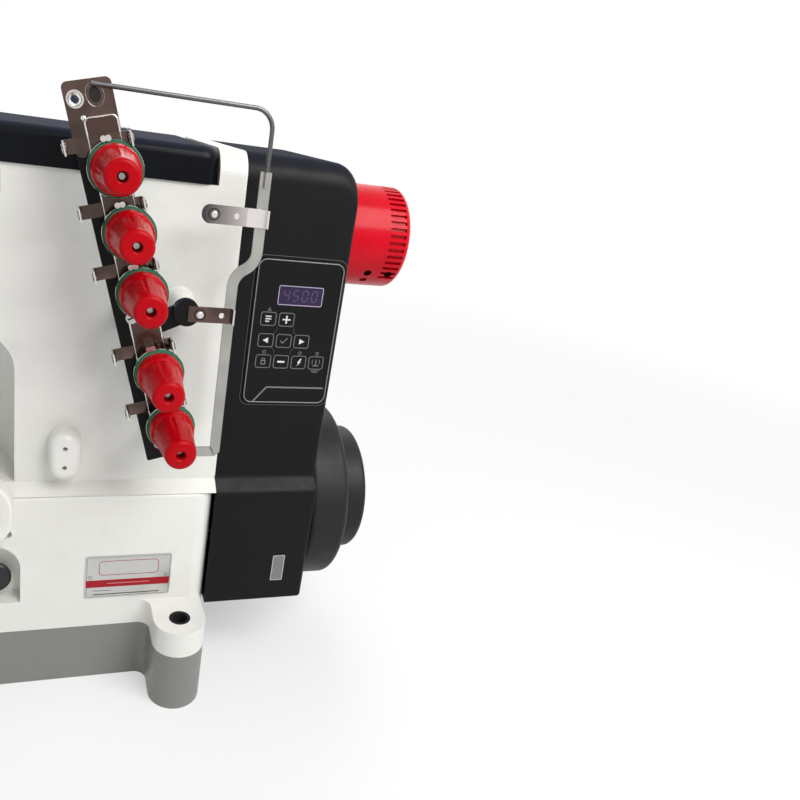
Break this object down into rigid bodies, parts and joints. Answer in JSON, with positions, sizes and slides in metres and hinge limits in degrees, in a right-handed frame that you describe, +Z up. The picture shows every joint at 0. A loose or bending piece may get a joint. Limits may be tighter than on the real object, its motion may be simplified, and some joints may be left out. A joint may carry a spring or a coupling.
{
  "type": "interlock sewing machine",
  "caption": "Flat-bed interlock sewing machine head with handwheel, side drive cover, keypad, motor and tilted thread tension board.",
  "frame": {"origin": "centre of the four foot holes, on the plane the machine stands on", "axes": "+X towards the handwheel, +Y to the back of the machine, +Z up"},
  "size_m": [0.5772, 0.2683, 0.3789],
  "materials": {
    "white_paint": "warm white gloss enamel on cast metal",
    "grey_paint": "satin warm grey paint",
    "black_cover": "fine satin black moulding",
    "gloss_black": "gloss black moulding",
    "motor_plastic": "matte dark grey",
    "red_plastic": "gloss red moulding",
    "polished_steel": "nickel plate",
    "machined_steel": "ground steel",
    "bronze": "sintered bronze",
    "rubber": "black rubber",
    "display_lens": "dark violet lens with lit segments",
    "plate_metal": "satin aluminium with one red band",
    "label_film": "grey film",
    "green_felt": "green washer",
    "button_black": "black moulding"
  },
  "bodies": {
    "machine": {"arm_badge": "plate_metal", "arm_casting": "white_paint", "base_oil_pan": "grey_paint", "bed_casting": "white_paint", "cloth_plate": "polished_steel", "control_panel": "black_cover", "cover_label": "label_film", "disc_washers": "green_felt", "display_window": "display_lens", "door_hinge": "polished_steel", "face_cover": "white_paint", "foot_bushes": "rubber", "guide_bracket": "black_cover", "guide_rail": "polished_steel", "head_bushes": "bronze", "lower_guide": "polished_steel", "motor_bracket": "machined_steel", "motor_cap": "motor_plastic", "motor_housing": "motor_plastic", "name_plate": "plate_metal", "needle_plate": "polished_steel", "plate_rivets": "polished_steel", "plate_standoffs": "polished_steel", "shaft_bearings": "bronze", "side_cover": "black_cover", "takeup_guard": "white_paint", "takeup_wire": "polished_steel", "tension_discs": "polished_steel", "tension_plate": "black_cover", "tension_posts": "polished_steel", "tension_springs": "polished_steel", "thread_guides": "polished_steel", "timing_belt": "rubber", "top_cover": "gloss_black", "top_guide_plate": "polished_steel", "upper_guide": "polished_steel"},
    "upper_shaft_set": {"handwheel": "red_plastic", "upper_shaft": "machined_steel", "upper_pulley": "machined_steel", "needle_bar_crank": "machined_steel"},
    "lower_shaft_set": {"lower_shaft": "machined_steel", "lower_pulley": "machined_steel", "motor_rotor": "machined_steel"},
    "takeup": {"takeup_disc": "polished_steel"},
    "needle_bar_set": {"needle_bar": "polished_steel", "needle_clamp": "polished_steel", "needles": "polished_steel"},
    "presser_set": {"presser_bar": "polished_steel", "presser_foot": "polished_steel"},
    "lifter": {"presser_lifter": "polished_steel"},
    "spreader": {"cover_spreader": "polished_steel"},
    "feed": {"feed_dog": "machined_steel"},
    "looper_arm": {"looper": "machined_steel"},
    "door": {"looper_door": "white_paint"},
    "stitch_control": {"stitch_button": "button_black"},
    "knob_1": {"tension_knob_1": "red_plastic"},
    "knob_2": {"tension_knob_2": "red_plastic"},
    "knob_3": {"tension_knob_3": "red_plastic"},
    "knob_4": {"tension_knob_4": "red_plastic"},
    "knob_5": {"tension_knob_5": "red_plastic"}
  },
  "joints": [
    {"name": "handwheel_turn", "type": "hinge", "parent": "machine", "child": "upper_shaft_set", "pos_m": [0.257, -0.0108, 0.304], "axis": [1, 0, 0], "continuous": true},
    {"name": "lower_shaft_turn", "type": "hinge", "parent": "machine", "child": "lower_shaft_set", "pos_m": [0.186, -0.0108, 0.105], "axis": [1, 0, 0], "continuous": true},
    {"name": "takeup_turn", "type": "hinge", "parent": "machine", "child": "takeup", "pos_m": [0.042, -0.0825, 0.126], "axis": [0, -1, 0], "continuous": true},
    {"name": "needle_bar_stroke", "type": "slide", "parent": "machine", "child": "needle_bar_set", "axis": [0, 0, 1], "range_m": [-0.031, 0]},
    {"name": "presser_lift", "type": "slide", "parent": "machine", "child": "presser_set", "axis": [0, 0, 1], "range_m": [0, 0.006]},
    {"name": "lifter_turn", "type": "hinge", "parent": "machine", "child": "lifter", "pos_m": [-0.225, 0.062, 0.232], "axis": [0, 1, 0], "range_deg": [0, 45]},
    {"name": "spreader_swing", "type": "hinge", "parent": "machine", "child": "spreader", "pos_m": [-0.232, -0.026, 0.206], "axis": [0, 0, 1], "range_deg": [-20, 20]},
    {"name": "feed_dog_stroke", "type": "slide", "parent": "machine", "child": "feed", "axis": [0, 1, 0], "range_m": [-0.0015, 0.0015]},
    {"name": "looper_swing", "type": "hinge", "parent": "machine", "child": "looper_arm", "pos_m": [-0.215, 0.03, 0.084], "axis": [1, 0, 0], "range_deg": [-6, 6]},
    {"name": "looper_door_turn", "type": "hinge", "parent": "machine", "child": "door", "pos_m": [-0.244, -0.0854, 0.064], "axis": [1, 0, 0], "range_deg": [0, 80]},
    {"name": "stitch_button_press", "type": "slide", "parent": "machine", "child": "stitch_control", "axis": [0, 1, 0], "range_m": [0, 0.0045], "stiffness_N_per_m": 400},
    {"name": "tension_knob_1_turn", "type": "hinge", "parent": "machine", "child": "knob_1", "pos_m": [0.11009, -0.1098, 0.33726], "axis": [0, -1, 0], "range_deg": [-540, 540]},
    {"name": "tension_knob_2_turn", "type": "hinge", "parent": "machine", "child": "knob_2", "pos_m": [0.11848, -0.1098, 0.30638], "axis": [0, -1, 0], "range_deg": [-540, 540]},
    {"name": "tension_knob_3_turn", "type": "hinge", "parent": "machine", "child": "knob_3", "pos_m": [0.12687, -0.1098, 0.2755], "axis": [0, -1, 0], "range_deg": [-540, 540]},
    {"name": "tension_knob_4_turn", "type": "hinge", "parent": "machine", "child": "knob_4", "pos_m": [0.13893, -0.1098, 0.23111], "axis": [0, -1, 0], "range_deg": [-540, 540]},
    {"name": "tension_knob_5_turn", "type": "hinge", "parent": "machine", "child": "knob_5", "pos_m": [0.14785, -0.1098, 0.19829], "axis": [0, -1, 0], "range_deg": [-540, 540]}
  ],
  "couplings": [
    {"joint": "lower_shaft_turn", "follows": "handwheel_turn", "ratio": 1},
    {"joint": "takeup_turn", "follows": "handwheel_turn", "ratio": 1},
    {"joint": "lifter_turn", "follows": "presser_lift", "rad_per_m": 130.9}
  ]
}
